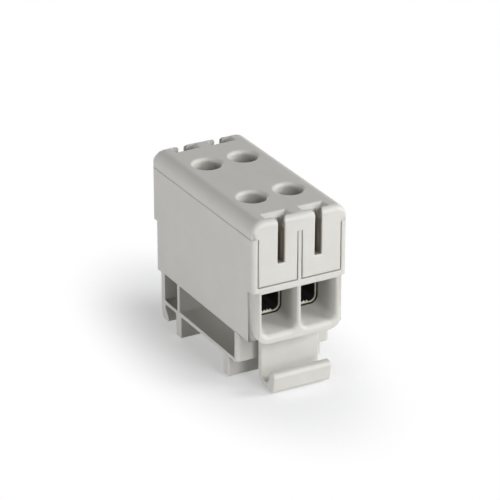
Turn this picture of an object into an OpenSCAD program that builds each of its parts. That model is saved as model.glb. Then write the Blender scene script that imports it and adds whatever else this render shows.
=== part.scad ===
// Two-way branch terminal for a 35 mm mounting rail.
// X runs along the rail, Y from the front wire entries (-Y) to the back ones, Z up.
// The origin is the middle of the rail seat, the underside of the beam that lies on the rail.

/* [Conductor ways] */
// Distance between the middles of the two conductor ways
pole_pitch = 9; // [8.6:0.1:11]
// Distance between the front and the back pair of clamping screws
screw_span = 20.4; // [18:0.2:26]
// Clear width of each tunnel in the clamp block
tunnel_w = 6.9; // [6.2:0.1:7.4]
// Clear height of each tunnel, from the tooth roots to its roof
tunnel_h = 7.75; // [7:0.05:9]
// Radius of the tunnel corners
tunnel_r = 1.3; // [0.6:0.1:1.8]
// Spacing of the teeth along the tunnel floor
tooth_pitch = 0.74; // [0.6:0.02:1]
// Height of the teeth
tooth_h = 0.5; // [0.2:0.05:0.6]

/* [Clamp block] */
// Metal beside the outer wall of each tunnel
block_side = 1.6; // [1.2:0.1:2.2]
// Metal under the tooth roots
block_floor = 1.7; // [1.2:0.1:2.4]
// Metal over the tunnels, which holds the screw threads
block_roof = 6.2; // [5:0.1:8]
// Metal beyond the screws at each end
block_end = 5.65; // [4.5:0.05:8]
// Room between the clamp block and the housing walls
block_gap = 0.35; // [0.1:0.05:0.5]
// Radius of the clamp block's long edges
block_edge_r = 0.8; // [0.3:0.1:1.2]

/* [Clamping screws] */
// Diameter of the screws
screw_d = 6; // [5:0.5:6]
// Length of the screws
screw_l = 12; // [11:0.5:14]
// Width across the flats of the hexagon socket
socket_af = 3; // [2.5:0.1:4]
// Depth of the hexagon socket
socket_depth = 3.6; // [2:0.1:5]
// Height of the cone at the screw tip
tip_h = 1; // [0.5:0.1:1.5]
// Radial room between a screw and its hole in the clamp block
thread_gap = 0.05; // [0.03:0.01:0.08]
// Height of the screw tips above the tunnel roof when the terminal is open
tip_gap = 0.2; // [0.1:0.05:0.5]

/* [Housing] */
// Thickness of the moulded walls
wall = 1.6; // [1.2:0.1:2]
// Radius of the upright corners
corner_r = 0.9; // [0.6:0.1:1.5]
// Depth of the wire entries, from the end face to the clamp block
entry_depth = 6.9; // [6:0.1:9]
// Wall outside each wire entry, at the end face
entry_side = 2.35; // [1.8:0.05:3]
// Wall between the two wire entries
partition = 0.9; // [0.7:0.1:1.6]
// Height of the wire entry sill above the underside
entry_sill = 1.15; // [1:0.05:2]
// Radius of the lower corners of the wire entries
entry_r = 1.8; // [1:0.1:2.5]
// Metal that shows all round a tunnel at the inner end of its wire entry
rim_show = 0.45; // [0.3:0.05:0.8]
// Bar between the wire entries and the snap tabs
entry_bar = 1.6; // [1.2:0.1:2.5]
// Height of the step above the wire entries where the end face becomes full width
step_rise = 0.6; // [0.3:0.1:1]
// Step at each side between the entry collar and the housing side
collar_step = 0.8; // [0.6:0.1:1.5]
// Distance that the side panels stand back from the end faces
panel_inset = 1.9; // [1.5:0.1:3]
// Radius of the upright corners of the side panels
panel_r = 0.3; // [0.2:0.1:0.9]
// Depth of the entry collar
collar_d = 3.4; // [2.6:0.1:3.8]
// Distance that the entry collar hangs below the underside
collar_drop = 0.6; // [0.2:0.1:0.8]
// Radius of the lower corners of the entry collar
collar_r = 3.5; // [2:0.1:4]
// Radius of the upright edges of the entry collar
collar_edge_r = 1.1; // [0.6:0.1:1.6]

/* [Cover] */
// Height of the cover above the parting line
cover_h = 3.9; // [3.5:0.1:5]
// Radius along the two long top edges
long_edge_r = 2.7; // [2:0.1:3.4]
// Least upright part of the cover's sides below that radius
edge_land = 0.4; // [0.2:0.1:1]
// Radius along the front and back top edges
end_edge_r = 1.5; // [0.8:0.1:2]
// Radius inside the cover's corners
cover_inner_r = 0.3; // [0.2:0.1:0.6]
// Bore of the driver holes
driver_d = 6.2; // [5.8:0.1:6.6]
// Radius of the rounded rim of the driver holes
driver_rim_r = 0.8; // [0.4:0.1:1]
// Wall of the sleeves round the driver holes
sleeve_wall = 0.9; // [0.7:0.1:1.2]
// Length of the driver holes
sleeve_l = 4.6; // [3.5:0.1:6]
// Room between a sleeve and the screw below it
head_gap = 0.4; // [0.3:0.1:1]
// Height of the locating ribs that drop inside the housing walls
locator_h = 1.4; // [1:0.1:2.5]
// Height of the shadow line between the cover and the housing
shadow_h = 0.14; // [0.1:0.02:0.3]
// Depth of the shadow line
shadow_d = 0.4; // [0.2:0.05:0.8]

/* [Snap tabs] */
// Room round each snap tab
tab_gap = 0.28; // [0.16:0.02:0.4]
// Housing rib between the two snap tabs of one end
tab_rib = 0.9; // [0.7:0.1:1.6]
// Housing cheek outside each snap tab
tab_cheek = 1.35; // [0.9:0.05:1.8]
// Width of the driver slot in each snap tab
slot_w = 1.75; // [1.2:0.05:2.4]
// Length of the driver slot, down from the top face
slot_l = 10.5; // [8:0.1:12]
// Reach of the driver slot and its notch behind the end face
notch_reach = 3.9; // [3.4:0.1:4.6]
// Width of the flared notch in the top face
notch_w = 6.2; // [4.6:0.1:6.6]
// Depth of the flared notch
notch_depth = 2.8; // [2:0.1:3.5]
// Top face left between the end face and the notch
notch_lip = 1.25; // [1:0.05:1.8]
// Radius where the driver slot meets the end face's top edge
slot_mouth_r = 1; // [0.4:0.1:1.2]
// Width of the catch on each snap tab
catch_w = 4; // [2:0.1:5]
// Height of the catch
catch_h = 1.5; // [1:0.1:2]

/* [Rail foot] */
// Width over the flanges of the mounting rail
rail_w = 35; // [34.5:0.1:36]
// Inner width of the rail's channel
rail_channel = 25; // [24.5:0.1:26]
// Thickness of the rail's flanges
rail_flange = 1; // [0.8:0.1:1.2]
// Room between the foot and the rail
rail_gap = 0.1; // [0.05:0.05:0.3]
// Thickness of the beam that lies on the rail
beam_t = 1; // [0.8:0.1:1.6]
// Clear height of the channel above the beam
channel_h = 6.4; // [5.5:0.1:8]
// Thickness of the front column
column_t = 1.8; // [1.4:0.1:2.4]
// Room between the latch plate and the front column
column_gap = 1.4; // [1:0.1:2]
// Height of the front column's lower end above the rail seat
column_lift = 0.3; // [0.2:0.1:0.8]
// Thickness of the pillar behind the channel
pillar_t = 1; // [0.8:0.1:1.8]
// Thickness of the two legs
leg_t = 2.4; // [1.8:0.1:3]
// Length of the back leg below the rail seat
back_leg_drop = 5.3; // [4.8:0.1:6]
// Length of the front leg below the rail seat
front_leg_drop = 4.8; // [3.5:0.1:5]
// Radius at the lower ends of the legs
leg_r = 0.4; // [0.2:0.1:0.8]
// Thickness of the fixed hook's upright
hook_t = 1.6; // [1.3:0.1:2.4]
// Reach of the fixed hook under the rail flange
hook_reach = 1.5; // [1:0.1:2]
// Distance from the flange to the top of the hook's tip
hook_lead = 1.7; // [0.8:0.1:1.8]
// Thickness of the hook's tip
hook_tip = 1; // [0.8:0.1:1.5]

/* [Rail latch] */
// Width of the latch plate and its finger grip
latch_w = 14.2; // [11:0.1:15]
// Height of the underside of the grip above the feet
latch_lift = 0.4; // [0.2:0.1:0.8]
// Thickness of the latch plate
latch_t = 1.5; // [1.2:0.1:2]
// Reach of the finger grip in front of the latch plate
grip_reach = 5.3; // [4.5:0.1:7]
// Thickness of the finger grip's upright lip
grip_t = 2.4; // [1.8:0.1:2.8]
// Thickness of the finger grip's floor
grip_floor = 1.7; // [1.4:0.1:2.6]
// Height of the finger grip's lip
grip_h = 4.9; // [4:0.1:6]
// Forward lean of the lip, in degrees
grip_lean = 8; // [0:1:12]
// Radius along the top of the lip
grip_top_r = 1; // [0.4:0.1:1.1]
// Outer radius of the bend between the plate and the grip
grip_bend_r = 3.2; // [2:0.1:3.6]
// Radius of the outer corners of the latch
latch_end_r = 0.6; // [0.3:0.1:1]
// Room between the latch and what it slides past
slide_gap = 0.1; // [0.05:0.05:0.2]
// Reach of the latch hook under the rail flange
latch_reach = 1.6; // [1:0.1:2]
// Width of the latch hook
latch_hook_w = 10; // [6:0.2:11]
// Width of the latch tongue
tongue_w = 6.6; // [4:0.1:7]
// Thickness of the latch tongue
tongue_t = 1.8; // [1.2:0.1:2.4]
// Length of the latch tongue behind the front column
tongue_l = 18; // [12:0.5:22]
// Thickness of the spine on the tongue
spine_t = 1.6; // [1:0.1:2]
// Height of the low part of the spine, which passes through the front column
spine_low_h = 1; // [0.6:0.1:1.6]
// Travel of the latch
latch_travel = 3.2; // [2.6:0.1:4]
// Thickness of the guide walls beside the tongue
guide_t = 1.1; // [0.8:0.1:1.5]

/* [Hidden] */
$fn = 64;

// A cut reaches this far past the face that it opens
over = 0.5;
// Thickness of the end slices that a flared shape is hulled from
slice = 0.01;

// Plan sizes, built up from the clamp block outwards
block_w = pole_pitch + tunnel_w + 2 * block_side;
block_l = screw_span + 2 * block_end;
body_w = block_w + 2 * (block_gap + wall);
body_l = block_l + 2 * (block_gap + entry_depth);
half_w = body_w / 2;
half_l = body_l / 2;

// Heights, built up from the rail seat
deck_z = beam_t + channel_h;
block_z = deck_z + wall;
tunnel_z = block_z + block_floor;
roof_z = tunnel_z + tunnel_h;
block_top = roof_z + block_roof;
screw_z = roof_z + tip_gap;
screw_top = screw_z + screw_l;
sleeve_z = screw_top + head_gap;
top_z = sleeve_z + sleeve_l;
parting_z = top_z - cover_h;
entry_top = roof_z + tip_gap;
tab_z = entry_top + entry_bar;
step_z = entry_top + step_rise;
slot_z = top_z - slot_l;
floor_z = -back_leg_drop;

// Snap tabs
tab_in = tab_rib / 2 + tab_gap;
tab_out = half_w - tab_cheek - tab_gap;
tab_mid = (tab_in + tab_out) / 2;
catch_z = tab_z + 2 * tab_gap + catch_h / 3;

// Rail foot
leg_y = rail_channel / 2 - rail_gap;
leg_in = leg_y - leg_t;
pillar_y = leg_in + (leg_t - pillar_t) / 2;
hook_y = rail_w / 2 + rail_gap;
latch_y = -rail_w / 2 - rail_gap;
column_y = latch_y + column_gap;
guide_x = tongue_w / 2 + slide_gap;
flange_z = -rail_flange - rail_gap;

// Levels of the latch tongue and its spine
tongue_z = beam_t + slide_gap;
spine_low_z = tongue_z + tongue_t + spine_low_h;
spine_top_z = deck_z - slide_gap;

// Plate of the latch, its grip, and the round trough that touches both the lip and the plate
latch_top = deck_z - collar_drop - slide_gap;
plate_front = latch_y - latch_t;
grip_front = plate_front - grip_reach;
grip_z = floor_z + latch_lift;
lip_half = grip_t / 2;
lip_room = (grip_reach - lip_half) * cos(grip_lean) + (grip_floor - lip_half) * sin(grip_lean) - lip_half;
trough_r = lip_room / (1 + cos(grip_lean) - sin(grip_lean));
trough_z = grip_z + grip_floor + trough_r;

// Rectangle between two corners with its own radius at each corner, in the order
// lower left, lower right, upper right, upper left
module round_rect(low, high, radii) {
    size = high - low;
    difference() {
        translate(low) square(size);
        for (i = [0 : 3]) {
            right = i == 1 || i == 2;
            upper = i > 1;
            if (radii[i] > 0) {
                corner = [right ? high[0] : low[0], upper ? high[1] : low[1]];
                translate(corner)
                    mirror([right ? 1 : 0, 0])
                        mirror([0, upper ? 1 : 0])
                            corner_waste(radii[i]);
            }
        }
    }
}

// What a fillet takes off the lower left corner of a rectangle
module corner_waste(r) {
    difference() {
        translate([-over, -over]) square(r + over);
        translate([r, r]) circle(r);
    }
}

// Plan outline centred on the origin
module plan(w, l, r) {
    round_rect([-w / 2, -l / 2], [w / 2, l / 2], [r, r, r, r]);
}

// Stands an outline drawn in X and Z upright and gives it a depth from y0 to y1
module along_y(y0, y1) {
    translate([0, y1, 0])
        rotate([90, 0, 0])
            linear_extrude(y1 - y0) children();
}

// Stands an outline drawn in Y and Z upright and gives it a width centred on X
module along_x(w) {
    rotate([90, 0, 90])
        linear_extrude(w, center = true) children();
}

// Repeats what is drawn at the front end at the back end
module both_ends() {
    children();
    mirror([0, 1, 0]) children();
}

// Repeats what is drawn at the right-hand way at the left-hand way
module both_ways() {
    children();
    mirror([1, 0, 0]) children();
}

// Box between two corners
module block(low, high) {
    translate(low) cube(high - low);
}

// Outer form of the housing: full width above the step, panels and entry collars below it
module housing_shell() {
    translate([0, 0, step_z])
        linear_extrude(parting_z - step_z) plan(body_w, body_l, corner_r);
    translate([0, 0, deck_z])
        linear_extrude(step_z - deck_z) plan(body_w, body_l - 2 * panel_inset, panel_r);
    both_ends() entry_collar();
}

// Rounded collar that frames the two wire entries of one end
module entry_collar() {
    collar_x = half_w - collar_step;
    intersection() {
        along_y(-half_l, -half_l + collar_d)
            round_rect([-collar_x, deck_z - collar_drop], [collar_x, step_z], [collar_r, collar_r, 0, 0]);
        translate([0, 0, deck_z - collar_drop])
            linear_extrude(step_z - deck_z + collar_drop) plan(2 * collar_x, body_l, collar_edge_r);
    }
}

// One wire entry, a funnel from the end face down to the tunnel in the clamp block
module wire_entry() {
    inner_x = pole_pitch / 2;
    inner_half = tunnel_w / 2 + rim_show;
    inner_r = tunnel_r + rim_show;
    hull() {
        along_y(-half_l - slice, -half_l)
            round_rect([partition / 2, deck_z + entry_sill], [half_w - entry_side, entry_top],
                [entry_r, entry_r, 0, 0], $fn = 32);
        along_y(-half_l + entry_depth, -half_l + entry_depth + slice)
            round_rect([inner_x - inner_half, tunnel_z - rim_show], [inner_x + inner_half, entry_top],
                [inner_r, inner_r, 0, 0], $fn = 32);
    }
}

// Room in the end face for one snap tab, with the window for its catch and its driver slot
module tab_pocket() {
    pocket_d = wall + tab_gap;
    window_x = catch_w / 2 + tab_gap;
    slot_x = slot_w / 2 + 2 * tab_gap;
    block([tab_in - tab_gap, -half_l - over, tab_z],
        [tab_out + tab_gap, -half_l + pocket_d, parting_z + over]);
    block([tab_mid - window_x, -half_l, catch_z - tab_gap],
        [tab_mid + window_x, -half_l + pocket_d + wall + over, catch_z + catch_h + tab_gap]);
    block([pole_pitch / 2 - slot_x, -half_l, slot_z - tab_gap],
        [pole_pitch / 2 + slot_x, -half_l + pocket_d + wall + over, parting_z + over]);
}

// Inside of the housing: the bed of the clamp block and the wider space above the wire entries
module housing_cavity() {
    inside_x = half_w - wall;
    bed_y = block_l / 2 + block_gap;
    upper_y = half_l - 2 * wall - tab_gap;
    block([-inside_x, -bed_y, block_z], [inside_x, bed_y, parting_z + over]);
    block([-inside_x, -upper_y, entry_top + wall], [inside_x, upper_y, parting_z + over]);
}

// Beam that lies on the rail, with the front column, the pillar and the two legs
module rail_foot() {
    beam_y = column_y + column_t / 2;
    block([-half_w, beam_y, 0], [half_w, hook_y + hook_t / 2, beam_t]);
    translate([0, column_y + column_t / 2, column_lift])
        linear_extrude(deck_z - column_lift + wall / 2) plan(body_w, column_t, column_t / 2);
    block([-half_w, pillar_y, beam_t / 2], [half_w, pillar_y + pillar_t, deck_z + wall / 2]);
    along_x(body_w) {
        round_rect([-leg_y, -front_leg_drop], [-leg_in, beam_t / 2], [leg_r, leg_r, 0, 0]);
        round_rect([leg_in, floor_z], [leg_y, beam_t / 2], [leg_r, leg_r, 0, 0]);
    }
    along_x(body_w) hook_outline();
}

// Fixed hook at the back, drawn in Y and Z: an upright with a tip under the rail flange
module hook_outline() {
    tip_y = hook_y - hook_reach;
    tip_top = flange_z - hook_lead;
    tip_low = tip_top - hook_tip;
    back_y = hook_y + hook_t;
    bottom_r = hook_t * 0.9;
    difference() {
        polygon([[hook_y, deck_z + wall / 2], [hook_y, flange_z], [tip_y, tip_top], [tip_y, tip_low],
            [back_y, tip_low], [back_y, deck_z + wall / 2]]);
        translate([back_y, tip_low]) mirror([1, 0]) corner_waste(bottom_r);
        translate([tip_y, tip_low]) corner_waste(hook_tip / 2);
    }
}

// Walls on both sides of the latch tongue, between the beam and the underside of the housing
module tongue_guide() {
    both_ways()
        block([guide_x, column_y + column_t / 2, beam_t / 2],
            [guide_x + guide_t, pillar_y + pillar_t / 2, deck_z + wall / 2]);
}

// Slot through the front column for the latch tongue and the low part of its spine
module tongue_slot() {
    block([-guide_x, column_y - over, beam_t],
        [guide_x, column_y + column_t + slide_gap, spine_low_z + slide_gap]);
}

// Shallow step along both long sides that shows as a shadow line under the cover
module shadow_line() {
    end_y = half_l - corner_r;
    both_ways()
        block([half_w - shadow_d, -end_y, parting_z - shadow_h], [half_w + over, end_y, parting_z + over]);
}

module housing() {
    color([0.86, 0.86, 0.85])
        difference() {
            union() {
                housing_shell();
                rail_foot();
                tongue_guide();
            }
            housing_cavity();
            both_ends() both_ways() wire_entry();
            both_ends() both_ways() tab_pocket();
            tongue_slot();
            shadow_line();
        }
}

// Form of the cover: plan, end view and side view crossed with each other
module cover_form(inset, edge_r, end_r, low_z, high_z) {
    w = body_w - 2 * inset;
    l = body_l - 2 * inset;
    intersection() {
        translate([0, 0, low_z])
            linear_extrude(high_z - low_z) plan(w, l, max(corner_r - inset, cover_inner_r));
        along_y(-half_l, half_l)
            round_rect([-w / 2, low_z], [w / 2, high_z], [0, 0, edge_r, edge_r]);
        along_x(body_w)
            round_rect([-l / 2, low_z], [l / 2, high_z], [0, 0, end_r, end_r]);
    }
}

// One snap tab of the front end, hanging from the cover's end wall, with its catch
module snap_tab() {
    inner_y = -half_l + wall;
    block([tab_in, -half_l, tab_z + tab_gap], [tab_out, inner_y, parting_z + wall / 2]);
    translate([tab_mid, 0, 0])
        along_x(catch_w)
            polygon([[inner_y - wall / 2, catch_z], [inner_y + wall * 0.6, catch_z + catch_h],
                [inner_y - wall / 2, catch_z + catch_h]]);
}

// Thickening under the top face that holds one driver slot and its notch
module notch_boss() {
    boss_x = notch_w / 2 + wall / 2;
    block([pole_pitch / 2 - boss_x, -half_l + wall / 2, parting_z],
        [pole_pitch / 2 + boss_x, -half_l + notch_reach + wall / 2, top_z - wall / 2]);
}

// Driver slot down the snap tab, and the notch that flares from it into the top face
module driver_slot() {
    x = pole_pitch / 2;
    face_y = -half_l;
    block([x - slot_w / 2, face_y - over, slot_z],
        [x + slot_w / 2, face_y + notch_reach - wall / 2, top_z + over]);
    along_y(face_y - over, face_y + notch_lip + wall / 4)
        translate([x, top_z])
            for (side = [0, 1])
                mirror([side, 0])
                    translate([slot_w / 2, 0]) mirror([0, 1]) corner_waste(slot_mouth_r);
    hull() {
        block([x - notch_w / 2, face_y + notch_lip, top_z],
            [x + notch_w / 2, face_y + notch_reach, top_z + slice]);
        block([x - slot_w / 2, face_y + notch_lip - wall / 2, top_z - notch_depth],
            [x + slot_w / 2, face_y + notch_lip + wall / 4, top_z - notch_depth + slice]);
    }
}

// Sleeve that guides the driver to one clamping screw
module driver_sleeve() {
    translate([pole_pitch / 2, -screw_span / 2, sleeve_z])
        cylinder(h = sleeve_l - wall / 2, d = driver_d + 2 * sleeve_wall);
}

// Driver hole through the sleeve, with its rounded rim in the top face
module driver_hole() {
    translate([pole_pitch / 2, -screw_span / 2, 0]) {
        translate([0, 0, sleeve_z - over]) cylinder(h = sleeve_l + 2 * over, d = driver_d);
        rotate_extrude()
            translate([driver_d / 2, top_z]) mirror([0, 1]) corner_waste(driver_rim_r, $fn = 32);
    }
}

// Ribs along both long walls that drop inside the housing and keep the cover in line
module locating_ribs() {
    rib_x = half_w - wall - tab_gap;
    rib_y = screw_span / 2;
    both_ways()
        block([rib_x - wall / 2, -rib_y, parting_z - locator_h], [rib_x, rib_y, top_z - wall / 2]);
}

// Rib between the ways that keeps the clamp block down on its bed
module hold_down_rib() {
    block([-wall / 2, -screw_span / 4, block_top + slide_gap],
        [wall / 2, screw_span / 4, top_z - wall / 2]);
}

module cover() {
    long_r = min(long_edge_r, cover_h - edge_land);
    hollow_r = max(long_r - wall, cover_inner_r);
    color([0.87, 0.87, 0.86])
        difference() {
            union() {
                difference() {
                    cover_form(0, long_r, end_edge_r, parting_z, top_z);
                    cover_form(wall, hollow_r, cover_inner_r, parting_z - over, top_z - wall);
                }
                both_ends() both_ways() {
                    snap_tab();
                    notch_boss();
                    driver_sleeve();
                }
                locating_ribs();
                hold_down_rib();
            }
            both_ends() both_ways() {
                driver_slot();
                driver_hole();
            }
        }
}

// One tunnel of the clamp block, drawn in X and Z, with teeth standing up from its floor
module tunnel_outline() {
    half = tunnel_w / 2;
    count = floor((tunnel_w - 2 * tunnel_r) / tooth_pitch);
    difference() {
        round_rect([-half, tunnel_z], [half, roof_z], [tunnel_r, tunnel_r, tunnel_r, tunnel_r]);
        for (i = [0 : count - 1])
            translate([(i - count / 2) * tooth_pitch, tunnel_z])
                polygon([[0, -slice], [tooth_pitch, -slice], [tooth_pitch, 0], [tooth_pitch / 2, tooth_h], [0, 0]]);
    }
}

module clamp_block() {
    color([0.78, 0.77, 0.73])
        difference() {
            along_y(-block_l / 2, block_l / 2)
                difference() {
                    round_rect([-block_w / 2, block_z], [block_w / 2, block_top],
                        [block_edge_r, block_edge_r, block_edge_r, block_edge_r]);
                    both_ways() translate([pole_pitch / 2, 0]) tunnel_outline();
                }
            for (x = [-1, 1], y = [-1, 1])
                translate([x * pole_pitch / 2, y * screw_span / 2, roof_z - tunnel_r])
                    cylinder(h = block_roof + tunnel_r + over, d = screw_d + 2 * thread_gap);
        }
}

// Clamping screw without a head: a threaded pin with a cone tip and a hexagon socket
module clamping_screw(x, y) {
    tip_d = screw_d - 2 * tip_h;
    color([0.7, 0.7, 0.72])
        translate([x * pole_pitch / 2, y * screw_span / 2, screw_z])
            difference() {
                union() {
                    cylinder(h = tip_h, d1 = tip_d, d2 = screw_d);
                    translate([0, 0, tip_h]) cylinder(h = screw_l - tip_h, d = screw_d);
                }
                translate([0, 0, screw_l - socket_depth])
                    cylinder(h = socket_depth + over, d = socket_af / cos(30), $fn = 6);
            }
}

// Outline of the latch plate and its finger grip, drawn in Y and Z. The lip leans forward about
// the middle of the grip's rounded lower front edge.
module latch_outline() {
    bend_r = min(grip_bend_r, trough_z - grip_z);
    round_rect([plate_front, trough_z - slice], [latch_y, latch_top], [0, 0, latch_end_r, latch_end_r]);
    difference() {
        round_rect([grip_front, grip_z], [latch_y, trough_z], [lip_half, bend_r, 0, 0]);
        translate([plate_front - trough_r, trough_z]) circle(trough_r);
    }
    translate([grip_front + lip_half, grip_z + lip_half])
        rotate(grip_lean)
            round_rect([-lip_half, 0], [lip_half, grip_h - lip_half], [0, 0, grip_top_r, grip_top_r]);
}

// Hook behind the latch plate that holds the front rail flange, with a ramp to snap over it
module latch_hook_outline() {
    polygon([[latch_y - latch_t / 2, flange_z], [latch_y + latch_reach, flange_z],
        [latch_y + latch_reach, flange_z - rail_flange / 2], [latch_y, flange_z - 2 * latch_reach],
        [latch_y - latch_t / 2, flange_z - 2 * latch_reach]]);
}

// Tongue that slides in the housing, with a spine whose step stops the latch at full travel
module latch_tongue() {
    column_back = column_y + column_t;
    end_y = column_back + tongue_l;
    block([-tongue_w / 2, latch_y - latch_t / 2, tongue_z], [tongue_w / 2, end_y, tongue_z + tongue_t]);
    block([-spine_t / 2, latch_y - latch_t / 2, tongue_z], [spine_t / 2, end_y, spine_low_z]);
    block([-spine_t / 2, column_back + latch_travel, tongue_z], [spine_t / 2, end_y, spine_top_z]);
}

module rail_latch() {
    color([0.86, 0.86, 0.85]) {
        intersection() {
            along_x(latch_w) latch_outline();
            along_y(-half_l - grip_reach, latch_y + over)
                round_rect([-latch_w / 2, grip_z], [latch_w / 2, latch_top], [latch_end_r, latch_end_r, 0, 0]);
        }
        along_x(latch_hook_w) latch_hook_outline();
        latch_tongue();
    }
}

housing();
cover();
clamp_block();
rail_latch();
clamping_screw(-1, -1);  // screw_front_left
clamping_screw(1, -1);  // screw_front_right
clamping_screw(-1, 1);  // screw_back_left
clamping_screw(1, 1);  // screw_back_right
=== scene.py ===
import math

import bpy
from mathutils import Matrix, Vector


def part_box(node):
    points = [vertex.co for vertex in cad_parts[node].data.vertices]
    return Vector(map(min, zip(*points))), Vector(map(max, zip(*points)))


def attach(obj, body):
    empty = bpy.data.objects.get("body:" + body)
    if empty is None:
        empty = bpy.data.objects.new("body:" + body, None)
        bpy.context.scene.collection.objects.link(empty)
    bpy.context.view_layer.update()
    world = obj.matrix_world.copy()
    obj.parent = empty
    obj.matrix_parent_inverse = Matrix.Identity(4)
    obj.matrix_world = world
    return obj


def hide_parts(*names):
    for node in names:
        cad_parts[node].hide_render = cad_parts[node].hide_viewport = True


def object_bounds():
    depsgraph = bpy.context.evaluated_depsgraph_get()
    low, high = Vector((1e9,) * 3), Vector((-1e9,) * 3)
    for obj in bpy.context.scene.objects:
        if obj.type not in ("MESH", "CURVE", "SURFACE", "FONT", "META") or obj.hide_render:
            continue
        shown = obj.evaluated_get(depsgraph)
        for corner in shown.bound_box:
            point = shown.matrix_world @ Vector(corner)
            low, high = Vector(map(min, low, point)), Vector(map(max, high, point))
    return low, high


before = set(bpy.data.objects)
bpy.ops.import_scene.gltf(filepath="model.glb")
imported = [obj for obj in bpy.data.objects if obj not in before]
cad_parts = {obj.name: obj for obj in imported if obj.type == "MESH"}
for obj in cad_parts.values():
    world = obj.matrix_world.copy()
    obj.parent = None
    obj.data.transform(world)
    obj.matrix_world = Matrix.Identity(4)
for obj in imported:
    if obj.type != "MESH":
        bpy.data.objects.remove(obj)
cad_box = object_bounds()
bpy.ops.object.select_all(action="DESELECT")
scene = bpy.context.scene
scene.view_settings.view_transform = "Standard"


# The view of the photograph: a long lens, well to the left of the front face and looking down
# on the driver holes. The aim is the point of the terminal that the middle of the picture shows.
VIEW_AZIMUTH = -28.742
VIEW_ELEVATION = 24.608
VIEW_DISTANCE = 0.6498
VIEW_AIM = Vector((-0.00271, -0.00601, 0.02101))
LENS_MM = 216.0
SENSOR_MM = 36.0
NEAREST_SHOWN = 0.05
FURTHEST_SHOWN = 20.0


def way_out(azimuth, elevation):
    """The direction from the terminal to what stands at this azimuth and elevation, in degrees."""
    turn = math.radians(azimuth)
    rise = math.radians(elevation)
    return Vector((
        math.sin(turn) * math.cos(rise),
        -math.cos(turn) * math.cos(rise),
        math.sin(rise),
    ))


view_back = way_out(VIEW_AZIMUTH, VIEW_ELEVATION)
bpy.ops.object.camera_add(location=VIEW_AIM + view_back * VIEW_DISTANCE)
camera = bpy.context.object
camera.name = "camera"
camera.rotation_mode = "QUATERNION"
camera.rotation_quaternion = (-view_back).to_track_quat("-Z", "Y")
camera.data.lens = LENS_MM
camera.data.sensor_width = SENSOR_MM
camera.data.clip_start = NEAREST_SHOWN
camera.data.clip_end = FURTHEST_SHOWN
scene.camera = camera


# The studio: a softbox on the right, a tall one in front, a low one on the left and a dim low one
# behind, all about a metre away. Little light comes from above, so the top is the darkest large
# face that the photograph shows.
SOFTBOX_DISTANCE = 1.05
DAYLIGHT = (0.975, 0.988, 1.0)


def softbox(name, azimuth, elevation, width, height, watts):
    out = way_out(azimuth, elevation)
    bpy.ops.object.light_add(type="AREA", location=VIEW_AIM + out * SOFTBOX_DISTANCE)
    lamp = bpy.context.object
    lamp.name = name
    lamp.rotation_mode = "QUATERNION"
    lamp.rotation_quaternion = (VIEW_AIM - lamp.location).to_track_quat("-Z", "Y")
    lamp.data.shape = "RECTANGLE"
    lamp.data.size = width
    lamp.data.size_y = height
    lamp.data.energy = watts
    lamp.data.color = DAYLIGHT


softbox("right_softbox", azimuth=58.0, elevation=23.0, width=0.45, height=0.45, watts=8.6)
softbox("front_softbox", azimuth=10.0, elevation=22.0, width=0.40, height=0.80, watts=6.0)
softbox("left_softbox", azimuth=-80.0, elevation=4.0, width=0.50, height=0.35, watts=7.2)
softbox("back_softbox", azimuth=172.0, elevation=6.0, width=0.60, height=0.25, watts=2.4)


# The walls of the studio: white where the camera sees them, also in metal and through glass, and
# otherwise a faint even light that only opens up the shades.
class Shade:
    """An output of a node, on which Python's operators add Math nodes."""

    def __init__(self, tree, socket):
        self.tree = tree
        self.socket = socket

    def maths(self, operation, *values):
        return node(self.tree, "ShaderNodeMath", {"operation": operation},
                    dict(enumerate(values)))

    def __add__(self, other):
        return self.maths("ADD", self, other)

    def __radd__(self, other):
        return self.maths("ADD", other, self)

    def __sub__(self, other):
        return self.maths("SUBTRACT", self, other)

    def __rsub__(self, other):
        return self.maths("SUBTRACT", other, self)

    def __mul__(self, other):
        return self.maths("MULTIPLY", self, other)

    def __rmul__(self, other):
        return self.maths("MULTIPLY", other, self)

    def absolute(self):
        return self.maths("ABSOLUTE", self)

    def at_least(self, other):
        return self.maths("MAXIMUM", self, other)

    def clipped(self, low, high):
        """0 below low, 1 above high and a smooth ramp between them."""
        return node(self.tree, "ShaderNodeMapRange", {"interpolation_type": "SMOOTHSTEP"},
                    {"Value": self, "From Min": low, "From Max": high})

    def also(self, output):
        """Another output of the same node."""
        return Shade(self.tree, self.socket.node.outputs[output])


def node(tree, kind, settings, values, output=0):
    """Adds a node, sets its settings first and then its sockets, and returns one output."""
    made = tree.nodes.new(kind)
    for key, value in settings.items():
        setattr(made, key, value)
    for key, value in values.items():
        if isinstance(value, Shade):
            tree.links.new(value.socket, made.inputs[key])
        else:
            made.inputs[key].default_value = value
    return Shade(tree, made.outputs[output]) if made.outputs else None


def new_tree(owner):
    owner.use_nodes = True
    owner.node_tree.nodes.clear()
    return owner.node_tree


def seen_directly(tree):
    """1 for what the camera sees, also in a mirror and through glass, and 0 for other light."""
    camera_ray = node(tree, "ShaderNodeLightPath", {}, {}, "Is Camera Ray")
    glossy_ray = camera_ray.also("Is Glossy Ray")
    clear_ray = camera_ray.also("Is Transmission Ray")
    return (camera_ray + glossy_ray + clear_ray).clipped(0.0, 1.0)


WHITE = (1.0, 1.0, 1.0, 1.0)
SKY_LIGHT = 0.085

scene.world = bpy.data.worlds.new("sky")
tree = new_tree(scene.world)
white = node(tree, "ShaderNodeBackground", {}, {"Color": WHITE, "Strength": 1.0})
soft = node(tree, "ShaderNodeBackground", {}, {"Color": WHITE, "Strength": SKY_LIGHT})
shown = node(tree, "ShaderNodeMixShader", {}, {0: seen_directly(tree), 1: soft, 2: white})
node(tree, "ShaderNodeOutputWorld", {}, {"Surface": shown})


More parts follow.
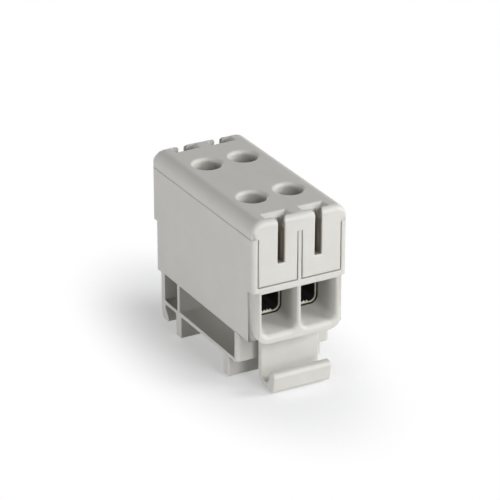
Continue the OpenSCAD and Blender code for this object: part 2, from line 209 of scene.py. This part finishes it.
# The floor: a plain white sheet under the rail feet, itself a little lit from behind. It takes the
# shadow close to the terminal and fades to the white of the background further out, over an oval.
FLOOR_HALF = 4.0
FLOOR_GAP = 0.00002
FLOOR_GLOW = 0.39
FADE_START = 0.36
FADE_END = 1.0
SHADOW_MIDDLE = Vector((-0.003, 0.001, 0.0))
SHADOW_HALVES = Vector((0.030, 0.064, 1.0))
PAPER_SHOWN = (0.96, 0.96, 0.96, 1.0)
PAPER_BOUNCE = (0.8, 0.8, 0.8, 1.0)

floor_z = cad_box[0].z - FLOOR_GAP
bpy.ops.mesh.primitive_plane_add(size=2 * FLOOR_HALF, location=(0.0, 0.0, floor_z))
floor = bpy.context.object
floor.name = "floor"

paper = bpy.data.materials.new("white_paper")
tree = new_tree(paper)
place = node(tree, "ShaderNodeTexCoord", {}, {}, "Object")
centred = node(tree, "ShaderNodeVectorMath", {"operation": "SUBTRACT"},
               {0: place, 1: SHADOW_MIDDLE})
halves = node(tree, "ShaderNodeVectorMath", {"operation": "DIVIDE"},
              {0: centred, 1: SHADOW_HALVES})
away = node(tree, "ShaderNodeVectorMath", {"operation": "LENGTH"}, {0: halves}, "Value")
glow_share = FLOOR_GLOW + away.clipped(FADE_START, FADE_END) * (1.0 - FLOOR_GLOW)
lit = node(tree, "ShaderNodeBsdfDiffuse", {}, {"Color": PAPER_SHOWN})
glow = node(tree, "ShaderNodeEmission", {}, {"Color": WHITE, "Strength": 1.0})
near = node(tree, "ShaderNodeMixShader", {}, {0: glow_share, 1: lit, 2: glow})
bounce = node(tree, "ShaderNodeBsdfDiffuse", {}, {"Color": PAPER_BOUNCE})
shown = node(tree, "ShaderNodeMixShader", {}, {0: seen_directly(tree), 1: bounce, 2: near})
node(tree, "ShaderNodeOutputMaterial", {}, {"Surface": shown})
floor.data.materials.append(paper)


# The housing: one moulding of light grey plastic, with the wire funnels, the side panels and the
# rail foot in one shot. The tool was spark eroded, which leaves a fine even grain, and nearly
# every outer edge has a small radius.
PLASTIC_LIGHT = (0.582, 0.567, 0.532, 1.0)
PLASTIC_DARK = (0.555, 0.540, 0.503, 1.0)
# Painted shade: the warm dark brown put on the driver slots' walls in place of their shade
PLASTIC_PAINTED_SHADE = (0.37, 0.325, 0.262, 1.0)
PLASTIC_IOR = 1.5
CLOUD_SCALE = 90.0
FLOW_SCALE = 420.0
FLOW_STRETCH = (1.0, 0.35, 0.5)
GRAIN_SCALE = 5200.0
GRAIN_DEPTH = 0.000006
SHADED_EDGE_R = 0.00022
UNSTRETCHED = (1.0, 1.0, 1.0)
UNMOVED = (0.0, 0.0, 0.0)


def noise(place, scale, detail, roughness):
    return node(place.tree, "ShaderNodeTexNoise", {"noise_dimensions": "3D"},
                {"Vector": place, "Scale": scale, "Detail": detail, "Roughness": roughness},
                "Fac")


def stretched(place, stretch, shift):
    return node(place.tree, "ShaderNodeMapping", {},
                {"Vector": place, "Location": shift, "Scale": stretch})


def blend_colours(factor, first, second):
    return node(factor.tree, "ShaderNodeMix", {"data_type": "RGBA"},
                {"Factor": factor, "A": first, "B": second}, "Result")


def surface(tree, values):
    """Gives a material its one shader, with these values and links on the shader's sockets."""
    shader = node(tree, "ShaderNodeBsdfPrincipled", {}, values)
    node(tree, "ShaderNodeOutputMaterial", {}, {"Surface": shader})


def moulded_plastic(name, shift, painted_shade_of=None):
    """The optional mask marks the walls on which a warm brown shade is painted over the plastic's
    own colour.
    """
    material = bpy.data.materials.new(name)
    tree = new_tree(material)
    place = node(tree, "ShaderNodeTexCoord", {}, {}, "Object")
    clouds = noise(stretched(place, UNSTRETCHED, shift), CLOUD_SCALE, 3.0, 0.55)
    flow = noise(stretched(place, FLOW_STRETCH, shift), FLOW_SCALE, 2.0, 0.5)
    grain = noise(place, GRAIN_SCALE, 2.0, 0.6)
    tone = (clouds * 0.7 + flow * 0.3).clipped(0.35, 0.68)
    colour = blend_colours(tone, PLASTIC_DARK, PLASTIC_LIGHT)
    if painted_shade_of:
        # painted shade: the masked slot walls turn a warm dark brown
        colour = blend_colours(painted_shade_of(place), colour, PLASTIC_PAINTED_SHADE)
    edges = node(tree, "ShaderNodeBevel", {"samples": 6}, {"Radius": SHADED_EDGE_R})
    relief = node(tree, "ShaderNodeBump", {},
                  {"Strength": 0.5, "Distance": GRAIN_DEPTH,
                   "Height": grain * 0.7 + flow * 0.3, "Normal": edges})
    surface(tree, {"Base Color": colour, "Roughness": 0.38 + clouds * 0.12 + grain * 0.08,
                   "IOR": PLASTIC_IOR, "Normal": relief})
    return material


# Painted shade: the walls of the narrow driver slots get a warm dark brown that stands in for the
# shade in them. The painted shade sets in a little behind the end face, and it stays off the top,
# the funnels and the inside.
END_Y = 0.0231
SLOT_X = 0.0045
SLOT_HALF = 0.000875
SLOT_EDGE = (SLOT_HALF + 0.00003, SLOT_HALF + 0.00015)
SLOT_SETS_IN = (0.0001, 0.0007)
SLOT_ENDS = (0.0038, 0.0042)
SLOT_BOTTOM_Z = (0.0246, 0.0248)
SLOT_TOP_Z = (0.0325, 0.0347)


def axes_of(place):
    x = node(place.tree, "ShaderNodeSeparateXYZ", {}, {0: place}, "X")
    return x, x.also("Y"), x.also("Z")


def slot_painted_shade(place):
    """1 on the walls of the driver slots, where shade is painted, and 0 elsewhere."""
    x, y, z = axes_of(place)
    behind_face = END_Y - y.absolute()
    deep = behind_face.clipped(*SLOT_SETS_IN) * (1.0 - behind_face.clipped(*SLOT_ENDS))
    beside = 1.0 - (x.absolute() - SLOT_X).absolute().clipped(*SLOT_EDGE)
    return deep * beside * z.clipped(*SLOT_BOTTOM_Z) * (1.0 - z.clipped(*SLOT_TOP_Z))


TOUCH = 0.00002
WELD = 0.000002
FLAT_ANGLE = math.radians(0.6)
SHARP_ANGLE = math.radians(24.0)
SMOOTH_ANGLE = math.radians(32.0)
ROUND_SEGMENTS = 3
FACE_AREA_WEIGHT = 100


def only(piece):
    bpy.ops.object.select_all(action="DESELECT")
    piece.select_set(True)
    bpy.context.view_layer.objects.active = piece


def merged_copy(node_name):
    """A copy of a CAD node with its corners joined and its flat faces made whole."""
    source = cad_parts[node_name]
    mesh = source.data.copy()
    mesh.transform(source.matrix_world)
    piece = bpy.data.objects.new(node_name + "_finished", mesh)
    scene.collection.objects.link(piece)
    only(piece)
    bpy.ops.object.mode_set(mode="EDIT")
    bpy.ops.mesh.select_all(action="SELECT")
    bpy.ops.mesh.remove_doubles(threshold=WELD)
    bpy.ops.mesh.dissolve_limited(angle_limit=FLAT_ANGLE)
    bpy.ops.object.mode_set(mode="OBJECT")
    return piece


def round_edges(piece, radius_of, widest, sharp=SHARP_ANGLE):
    """Rounds each sharp edge by the radius that radius_of gives for its middle point.

    The point's x comes without its sign, because both sides of the terminal are alike.
    """
    mesh = piece.data
    sides = {}
    for face in mesh.polygons:
        for key in face.edge_keys:
            sides.setdefault(key, []).append(face.normal)
    weights = mesh.attributes.new("bevel_weight_edge", "FLOAT", "EDGE")
    for edge in mesh.edges:
        normals = sides.get(tuple(sorted(edge.vertices)), [])
        if len(normals) == 2 and normals[0].angle(normals[1], 0.0) > sharp:
            first, second = (mesh.vertices[end].co for end in edge.vertices)
            middle = (first + second) / 2
            radius = radius_of(abs(middle.x), middle.y, middle.z)
            weights.data[edge.index].value = radius / widest
    only(piece)
    bevel = piece.modifiers.new("rounded_edges", "BEVEL")
    bevel.limit_method = "WEIGHT"
    bevel.width = widest
    bevel.segments = ROUND_SEGMENTS
    bevel.use_clamp_overlap = False
    bevel.loop_slide = False
    bpy.ops.object.modifier_apply(modifier=bevel.name)
    bpy.ops.object.shade_smooth_by_angle(angle=SMOOTH_ANGLE)
    weighted = piece.modifiers.new("flat_faces_stay_flat", "WEIGHTED_NORMAL")
    weighted.mode = "FACE_AREA"
    weighted.weight = FACE_AREA_WEIGHT
    weighted.keep_sharp = True
    bpy.ops.object.modifier_apply(modifier=weighted.name)


def finished(piece, node_name, body, material):
    piece.data.materials.clear()
    piece.data.materials.append(material)
    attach(piece, body)
    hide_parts(node_name)


# Each edge of the housing is found by its place. The hollow inside stays sharp, and so do the edges
# that meet the cover or that the solid has rounded already.
PARTING_Z = 0.03175
STEP_Z = 0.01925
SIDE_X = 0.0115
NEAR_SIDE_X = 0.0114
NEAR_LEVEL = 0.0003
HOLLOW_X = 0.0098
HOLLOW_Y = 0.0198
HOLLOW_Z = 0.0091
JOINT_ENDS = 0.0012
STEP_BAND = 0.0004
FUNNEL_X = 0.0093
FUNNEL_LOW_Z = 0.0084
FUNNEL_CURVE_Z = 0.0104
FUNNEL_CURVE = 0.0018
FUNNEL_HIGH_Z = 0.0188
COLLAR_IN_X = 0.0068
COLLAR_OUT_X = 0.0094
COLLAR_Y = 0.0194
COLLAR_Z = 0.0109
COLUMN_FRONT_Y = -0.0164
COLUMN_BACK_Y = -0.0142
COLUMN_LOW_Z = -0.0001
COLUMN_FOOT_Z = 0.0005
CHANNEL_X = 0.0098
CHANNEL_BACK_Y = 0.0174
CHANNEL_LOW_Z = 0.0002
CHANNEL_HIGH_Z = 0.0072
PANEL_X = 0.0105
PANEL_Z = 0.0074
SHARP = 0.0
FINE_R = 0.0002
PLAIN_R = 0.00026
END_R = 0.0005
FUNNEL_R = 0.0004
FUNNEL_EXTRA_R = 0.0005
HOUSING_WIDEST_R = 0.001


def housing_radius(x, y, z):
    at_end = abs(abs(y) - END_Y) < TOUCH
    if x < HOLLOW_X and abs(y) < HOLLOW_Y and z > HOLLOW_Z:
        return SHARP
    if z > PARTING_Z - NEAR_LEVEL:
        return FINE_R if x > NEAR_SIDE_X and abs(y) < END_Y - JOINT_ENDS else SHARP
    if at_end and z > STEP_Z + NEAR_LEVEL:
        return FINE_R
    if at_end and FUNNEL_LOW_Z < z < FUNNEL_HIGH_Z and x < FUNNEL_X:
        lowest = min(max((FUNNEL_CURVE_Z - z) / FUNNEL_CURVE, 0.0), 1.0)
        return FUNNEL_R + FUNNEL_EXTRA_R * lowest
    if abs(z - STEP_Z) < STEP_BAND:
        return SHARP
    if z < COLLAR_Z and x > COLLAR_IN_X and abs(y) > COLLAR_Y:
        if not (x < COLLAR_OUT_X and at_end and z > FUNNEL_LOW_Z):
            return SHARP
    if COLUMN_FRONT_Y < y < COLUMN_BACK_Y and z > COLUMN_LOW_Z:
        return FINE_R if z < COLUMN_FOOT_Z else SHARP
    in_channel = CHANNEL_LOW_Z < z < CHANNEL_HIGH_Z and x > CHANNEL_X
    if in_channel or x > PANEL_X and abs(z - PANEL_Z) < NEAR_LEVEL:
        return FINE_R if COLUMN_BACK_Y < y < CHANNEL_BACK_Y else SHARP
    return END_R if at_end else PLAIN_R


# The solid leaves more room than the real moulding shows. So the joint line under the cover is
# made shallower, and the window behind a driver slot is made as narrow as the slot.
JOINT_FLOOR_X = (0.0110, 0.0112)
JOINT_HEIGHT = 0.0002
JOINT_DEPTH = 0.0002
WINDOW_HALF = 0.001435
WINDOW_FROM_Y = 0.0190
WINDOW_FROM_Z = 0.0245

housing_copy = merged_copy("housing")
for vertex in housing_copy.data.vertices:
    x, y, z = vertex.co
    at_joint = PARTING_Z - JOINT_HEIGHT < z < PARTING_Z + TOUCH
    if at_joint and JOINT_FLOOR_X[0] < abs(x) < JOINT_FLOOR_X[1]:
        vertex.co.x = math.copysign(SIDE_X - JOINT_DEPTH, x)
    beside_slot = abs(x) - SLOT_X
    on_window = abs(abs(beside_slot) - WINDOW_HALF) < TOUCH
    if on_window and abs(y) > WINDOW_FROM_Y and z > WINDOW_FROM_Z:
        vertex.co.x = math.copysign(SLOT_X + math.copysign(SLOT_HALF, beside_slot), x)
round_edges(housing_copy, housing_radius, HOUSING_WIDEST_R)
# the housing's slot walls get the painted warm shade
finished(housing_copy, "housing", "base",
         moulded_plastic("housing_plastic", UNMOVED, slot_painted_shade))


# The rail latch: a small moulding of the same plastic. Its tongue slides in a guide under the
# housing, and its plate hangs down in front and curls forward into a finger grip.
LATCH_PATTERN_SHIFT = (0.26, 0.14, 0.0)
LATCH_SIDE_X = 0.0066
LATCH_SIDE_R = 0.0003
LATCH_WIDEST_R = 0.0006
LATCH_SHARP_ANGLE = math.radians(60.0)


def latch_radius(x, y, z):
    return LATCH_SIDE_R if x > LATCH_SIDE_X else SHARP


latch_copy = merged_copy("rail_latch")
round_edges(latch_copy, latch_radius, LATCH_WIDEST_R, LATCH_SHARP_ANGLE)
finished(latch_copy, "rail_latch", "latch",
         moulded_plastic("latch_plastic", LATCH_PATTERN_SHIFT))


# The clamp block: one aluminium extrusion, sawn to length and tin plated, its tunnel mouths lightly
# deburred. Painted shade darkens the metal inside the tunnels, and painted shadow darkens the block
# outside a thin rim round their mouths. It drops into the housing from above, and the cover holds
# it down.
TIN_LIGHT = (0.74, 0.71, 0.62, 1.0)
TIN_DARK = (0.54, 0.51, 0.43, 1.0)
# Painted shade: near-black inside the tunnels and, as painted shadow, outside the thin rim round
# each mouth
METAL_PAINTED_SHADE = (0.010, 0.009, 0.008, 1.0)
SHADE_SETS_IN = (0.0002, 0.0005)
SHADOW_BEYOND_RIM = 0.85
RIM_EDGE = (0.00020, 0.00032)
TUNNEL_X = 0.0045
TUNNEL_MIDDLE_Z = 0.014575
TUNNEL_CORNER_R = 0.0013
TUNNEL_FLAT_X = 0.00345 - TUNNEL_CORNER_R
TUNNEL_FLAT_Z = 0.003875 - TUNNEL_CORNER_R
DRAWN_STRETCH = (1.0, 0.02, 1.0)
DRAWN_SCALE = 2600.0
DRAWN_DEPTH = 0.000008
SPANGLE_SCALE = 700.0
SHADED_METAL_EDGE_R = 0.0001
DEBURRED_R = 0.00012
BLOCK_WIDEST_R = 0.0003

block_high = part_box("clamp_block")[1]


def block_radius(x, y, z):
    return DEBURRED_R if abs(abs(y) - block_high.y) < TOUCH else SHARP


block_copy = merged_copy("clamp_block")
round_edges(block_copy, block_radius, BLOCK_WIDEST_R)

tinned = bpy.data.materials.new("tinned_metal")
tree = new_tree(tinned)
place = node(tree, "ShaderNodeTexCoord", {}, {}, "Object")
x, y, z = axes_of(place)
inside = (block_high.y - y.absolute()).clipped(*SHADE_SETS_IN)
across = ((x.absolute() - TUNNEL_X).absolute() - TUNNEL_FLAT_X).at_least(0.0)
upright = ((z - TUNNEL_MIDDLE_Z).absolute() - TUNNEL_FLAT_Z).at_least(0.0)
corner = node(tree, "ShaderNodeCombineXYZ", {}, {"X": across, "Y": upright})
reach = node(tree, "ShaderNodeVectorMath", {"operation": "LENGTH"}, {0: corner}, "Value")
off_tunnel = reach - TUNNEL_CORNER_R
# painted shade inside the tunnels, and painted shadow beyond a thin rim round each mouth
block_painted_shade = inside.at_least(off_tunnel.clipped(*RIM_EDGE) * SHADOW_BEYOND_RIM)
draw_lines = noise(stretched(place, DRAWN_STRETCH, UNMOVED), DRAWN_SCALE, 3.0, 0.6)
spangle = noise(place, SPANGLE_SCALE, 2.0, 0.5)
tin = blend_colours((draw_lines * 0.6 + spangle * 0.4).clipped(0.3, 0.7), TIN_DARK, TIN_LIGHT)
edges = node(tree, "ShaderNodeBevel", {"samples": 4}, {"Radius": SHADED_METAL_EDGE_R})
relief = node(tree, "ShaderNodeBump", {},
              {"Strength": 0.4, "Distance": DRAWN_DEPTH, "Height": draw_lines, "Normal": edges})
# the painted shade and shadow darken the tin's colour; inside the tunnels the metal is also less
# metallic and rougher
surface(tree, {"Base Color": blend_colours(block_painted_shade, tin, METAL_PAINTED_SHADE), "Metallic": 1.0 - inside * 0.9,
               "Roughness": 0.30 + spangle * 0.15 + inside * 0.3, "Normal": relief})
finished(block_copy, "clamp_block", "base", tinned)


# The four clamping screws: headless, of zinc-plated steel, cold formed with a hexagon socket. Each
# is driven down through a boss of the clamp block on to the conductor.
ZINC_LIGHT = (0.70, 0.71, 0.72, 1.0)
ZINC_DARK = (0.48, 0.49, 0.50, 1.0)
ZINC_SCALE = 900.0

zinc = bpy.data.materials.new("zinc_steel")
tree = new_tree(zinc)
patches = noise(node(tree, "ShaderNodeTexCoord", {}, {}, "Object"), ZINC_SCALE, 3.0, 0.6)
surface(tree, {"Base Color": blend_colours(patches.clipped(0.3, 0.7), ZINC_DARK, ZINC_LIGHT),
               "Metallic": 1.0, "Roughness": 0.26 + patches * 0.2})
for row in ("front", "back"):
    for side in ("left", "right"):
        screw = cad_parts[f"screw_{row}_{side}"]
        screw.data.materials.clear()
        screw.data.materials.append(zinc)


# The cover: one moulding of the same plastic as the housing, with rounded long edges and four
# driver holes. It is pressed on last, and two snap tabs at each end spring into the housing's
# pockets and hold it.
COVER_PATTERN_SHIFT = (0.13, 0.07, 0.0)
COVER_WIDEST_R = 0.0006
CAVITY_TOP_Z = 0.034
SLEEVES_BEHIND = 0.0045
TAB_DEPTH = 0.0017
TAB_EDGE_X = 0.0085
CROWN_Z = 0.0336
CROWN_DEPTH = 0.0018
SHOULDER_Z = 0.0325
SHOULDER_X = 0.0086


def cover_radius(x, y, z):
    if x < HOLLOW_X and abs(y) < END_Y - SLEEVES_BEHIND and z < CAVITY_TOP_Z:
        return SHARP
    if abs(z - PARTING_Z) < TOUCH:
        return FINE_R if x > NEAR_SIDE_X else SHARP
    if abs(y) < END_Y - TAB_DEPTH and z < CAVITY_TOP_Z:
        return SHARP
    if z > CROWN_Z and abs(y) > END_Y - CROWN_DEPTH or z > SHOULDER_Z and x > SHOULDER_X:
        return SHARP
    if z < PARTING_Z and x > TAB_EDGE_X:
        return FINE_R
    return PLAIN_R


# The cover's top corners are rounded both ways at once: where the long edge's radius meets the end
# edge's, the surface sinks by the sum of the two insets and not only by the larger one.
COVER_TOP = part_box("cover")[1]
LONG_EDGE_R = 0.0027
END_EDGE_R = 0.0015
CORNER_CUTS = 10
ON_SURFACE = 0.985
SKIN_FROM_X = 0.0070
SKIN_FACES_UP = 0.02
NEVER_LEVEL = 1e-10


def inset(radius, depth):
    """How far the surface sinks at this depth into a rounded edge."""
    return radius - math.sqrt(max(radius * radius - depth * depth, 0.0)) if depth > 0.0 else 0.0


def slope(radius, depth):
    """How steep the surface is at this depth into a rounded edge."""
    run = math.sqrt(max(radius * radius - depth * depth, NEVER_LEVEL))
    return depth / run if depth > 0.0 else 0.0


def cut(piece, point, normal):
    only(piece)
    bpy.ops.object.mode_set(mode="EDIT")
    bpy.ops.mesh.select_all(action="SELECT")
    bpy.ops.mesh.bisect(plane_co=point, plane_no=normal)
    bpy.ops.object.mode_set(mode="OBJECT")


def round_cover_corners(piece):
    long_x = COVER_TOP.x - LONG_EDGE_R
    end_y = END_Y - END_EDGE_R
    for step in range(CORNER_CUTS):
        turn = math.radians(90.0 / CORNER_CUTS * step)
        cut_x = long_x + LONG_EDGE_R * math.sin(turn)
        cut_y = end_y + END_EDGE_R * math.sin(turn)
        for sign in (-1.0, 1.0):
            cut(piece, (sign * cut_x, 0.0, 0.0), (1.0, 0.0, 0.0))
            cut(piece, (0.0, sign * cut_y, 0.0), (0.0, 1.0, 0.0))
    height = COVER_TOP.z - PARTING_Z
    for vertex in piece.data.vertices:
        x, y, z = vertex.co
        insets = (inset(LONG_EDGE_R, abs(x) - long_x), inset(END_EDGE_R, abs(y) - end_y))
        if z > PARTING_Z + TOUCH and min(insets) > 0.0:
            share = (z - PARTING_Z) / (height - max(insets))
            share = 1.0 if share > ON_SURFACE else share
            vertex.co.z = PARTING_Z + share * (height - sum(insets))
    only(piece)
    bpy.ops.object.mode_set(mode="EDIT")
    bpy.ops.mesh.select_mode(type="FACE")
    bpy.ops.mesh.select_all(action="DESELECT")
    bpy.ops.object.mode_set(mode="OBJECT")
    for face in piece.data.polygons:
        x, y, z = face.center
        face.select = not (abs(x) > long_x and abs(y) > end_y and z > PARTING_Z)
    bpy.ops.object.mode_set(mode="EDIT")
    bpy.ops.mesh.dissolve_limited(angle_limit=FLAT_ANGLE)
    bpy.ops.object.mode_set(mode="OBJECT")


def skin_normal(place):
    return Vector((
        math.copysign(slope(LONG_EDGE_R, abs(place.x) - COVER_TOP.x + LONG_EDGE_R), place.x),
        math.copysign(slope(END_EDGE_R, abs(place.y) - END_Y + END_EDGE_R), place.y),
        1.0,
    )).normalized()


def shade_cover_skin(piece):
    """Gives the rounded long edges and corners the normals of their exact form."""
    mesh = piece.data
    normals = [Vector(normal.vector) for normal in mesh.corner_normals]
    for face in mesh.polygons:
        middle = face.center
        sunk = inset(LONG_EDGE_R, abs(middle.x) - COVER_TOP.x + LONG_EDGE_R)
        sunk += inset(END_EDGE_R, abs(middle.y) - END_Y + END_EDGE_R)
        off = abs(COVER_TOP.z - sunk - middle.z) * skin_normal(middle).z
        on_skin = abs(middle.x) > SKIN_FROM_X and off < 2 * TOUCH
        if on_skin and face.normal.z > SKIN_FACES_UP:
            for loop in face.loop_indices:
                normals[loop] = skin_normal(mesh.vertices[mesh.loops[loop].vertex_index].co)
    mesh.normals_split_custom_set(normals)


# The solid leaves more room round a snap tab than the photograph shows, so each side of the tab is
# made a little fuller.
TAB_IN_X = 0.00073
TAB_OUT_X = 0.00987
TAB_FULLER = 0.00010

cover_copy = merged_copy("cover")
for vertex in cover_copy.data.vertices:
    x, y, z = vertex.co
    if z < PARTING_Z + TOUCH and abs(y) > END_Y - TAB_DEPTH:
        for side_x, way in ((TAB_IN_X, -1.0), (TAB_OUT_X, 1.0)):
            if abs(abs(x) - side_x) < TOUCH:
                vertex.co.x = math.copysign(side_x + way * TAB_FULLER, x)
round_cover_corners(cover_copy)
round_edges(cover_copy, cover_radius, COVER_WIDEST_R)
shade_cover_skin(cover_copy)
# the cover's slot walls get the painted warm shade
finished(cover_copy, "cover", "base",
         moulded_plastic("cover_plastic", COVER_PATTERN_SHIFT, slot_painted_shade))
